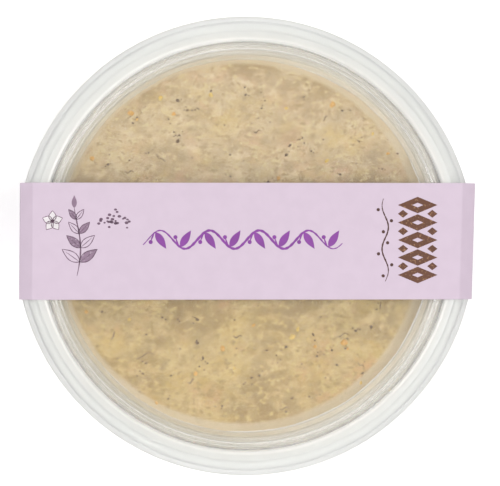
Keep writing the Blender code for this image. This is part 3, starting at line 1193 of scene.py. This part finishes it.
def lozenge_column():
    """Stamped lozenges one over another, each a thick frame round a small one, with studs between."""
    pieces = []
    half_x = COLUMN_WIDTH / 2
    half_y = COLUMN_STEP / 2 - COLUMN_GAP
    for index in range(COLUMN_COUNT):
        y = COLUMN_LOW + COLUMN_STEP * (index + 0.5)
        outer = dense(lozenge(COLUMN_X, y, half_x, half_y))
        inner = dense(lozenge(COLUMN_X, y, half_x * COLUMN_HOLE, half_y * COLUMN_HOLE))
        count = len(outer)
        faces = [(i, (i + 1) % count, count + (i + 1) % count, count + i) for i in range(count)]
        pieces.append((laid(outer + inner), faces))
    for side in (-1, 1):
        for index in range(1, COLUMN_COUNT):
            x = COLUMN_X + side * (half_x - STUD_HALF_X)
            y = COLUMN_LOW + COLUMN_STEP * index
            pieces.append(filled(lozenge(x, y, STUD_HALF_X, STUD_HALF_Y)))
    return join(pieces)


def beaded_line():
    """A fine wavy line with beads, beside the column."""
    x = COLUMN_X - COLUMN_WIDTH / 2 - BEADED_GAP
    low = COLUMN_LOW + BEADED_END
    high = COLUMN_LOW + COLUMN_STEP * COLUMN_COUNT - BEADED_END
    path = [(x + BEADED_WAVE * math.sin(i / 5.0), low + (high - low) * i / 60) for i in range(61)]
    pieces = [stroke(path, BEADED_WIDTH)]
    for i in range(4, 60, 8):
        side = 1 if (i // 8) % 2 else -1
        pieces.append(dot(path[i][0] + side * BEADED_SIDE, path[i][1], BEADED_DOT))
    return join(pieces)


def ink_material(name, colour, bare=0.0, under=PAPER_TONES[0]):
    """Printing ink in soft tones. Its worn specks show this bare share of what is under it."""
    material, nodes, links, shader = new_material(name)
    place = object_place(nodes)
    tone = noise_texture(nodes, links, place, 300.0, 4.0, (4.0, 4.0, 4.0))
    deep = tuple(channel * INK_DEEPEST for channel in srgb(*colour))
    ink = mixed(nodes, links, map_range(nodes, links, tone, 0.3, 0.7), srgb(*colour), deep)
    grain = noise_texture(nodes, links, place, 1500.0, 6.0)
    worn = map_range(nodes, links, grain, 0.62 - 0.1 * bare, 0.70 - 0.08 * bare, 0.0, bare)
    links.new(mixed(nodes, links, worn, ink, srgb(*under)), shader.inputs["Base Color"])
    shader.inputs["Roughness"].default_value = 0.55
    return material


def make_print():
    sprig_fill, sprig_line = sprig_parts()
    petals, petal_lines = blossom_parts()
    prints = (
        ("print_vine", vine(), ink_material("ink_purple", INK_PURPLE)),
        ("print_sprig_fill", sprig_fill, ink_material("ink_grey_plum", INK_GREY_PLUM, 0.5)),
        ("print_sprig_line", sprig_line, ink_material("ink_plum", INK_PLUM, 0.25)),
        ("print_petals", petals, ink_material("ink_white", INK_WHITE)),
        ("print_petal_lines", lifted(petal_lines), ink_material("ink_thin_plum", INK_THIN_PLUM)),
        ("print_lozenges", lozenge_column(), ink_material("ink_brown", INK_BROWN, 0.6, INK_WORN_BROWN)),
        ("print_beads", beaded_line(), ink_material("ink_dark_brown", INK_DARK_BROWN)),
    )
    for name, shape, ink in prints:
        add_piece(name, *shape, ink, smooth_angle=None)


# Studio

def add_softbox(name, place, target, width, height, power):
    light = bpy.data.lights.new(name, "AREA")
    light.shape = "RECTANGLE"
    light.size = width * MM
    light.size_y = height * MM
    light.energy = power
    lamp = bpy.data.objects.new(name, light)
    lamp.location = Vector(place) * MM
    lamp.rotation_euler = (Vector(target) - Vector(place)).to_track_quat("-Z", "Y").to_euler()
    bpy.context.scene.collection.objects.link(lamp)


def make_floor():
    bpy.ops.mesh.primitive_plane_add(size=FLOOR_SIDE * MM, location=(0, 0, -FLOOR_DROP * MM))
    floor = bpy.context.object
    floor.name = "studio_floor"
    material, _, _, shader = new_material("studio_white")
    shader.inputs["Base Color"].default_value = (0.96, 0.96, 0.96, 1.0)
    shader.inputs["Roughness"].default_value = 0.9
    shader.inputs["Specular IOR Level"].default_value = 0.0
    shader.inputs["Emission Color"].default_value = (1.0, 1.0, 1.0, 1.0)
    shader.inputs["Emission Strength"].default_value = 0.12
    floor.data.materials.append(material)


def make_studio():
    make_floor()
    for softbox in SOFTBOXES:
        add_softbox(*softbox)
    world = bpy.data.worlds.new("studio_world")
    world.use_nodes = True
    background = world.node_tree.nodes["Background"]
    background.inputs["Color"].default_value = (1.0, 1.0, 1.0, 1.0)
    background.inputs["Strength"].default_value = WORLD_STRENGTH
    bpy.context.scene.world = world
    bpy.context.scene.view_settings.view_transform = "Standard"


def make_camera():
    """Looks almost straight down, from a little left of the middle."""
    aim = Vector(CAMERA_AIM)
    data = bpy.data.cameras.new("camera")
    data.sensor_width = SENSOR_WIDTH
    data.lens = SENSOR_WIDTH * CAMERA_DISTANCE / FRAME_WIDTH
    data.clip_start = 0.01
    camera = bpy.data.objects.new("camera", data)
    camera.location = (aim + Vector((-CAMERA_LEFT, 0.0, CAMERA_DISTANCE))) * MM
    camera.rotation_euler = (0.0, -math.atan2(CAMERA_LEFT, CAMERA_DISTANCE), 0.0)
    bpy.context.scene.collection.objects.link(camera)
    bpy.context.scene.camera = camera


make_camera()
make_tub()
make_lid()
make_dip()
make_flecks()
make_band()
make_print()
make_studio()
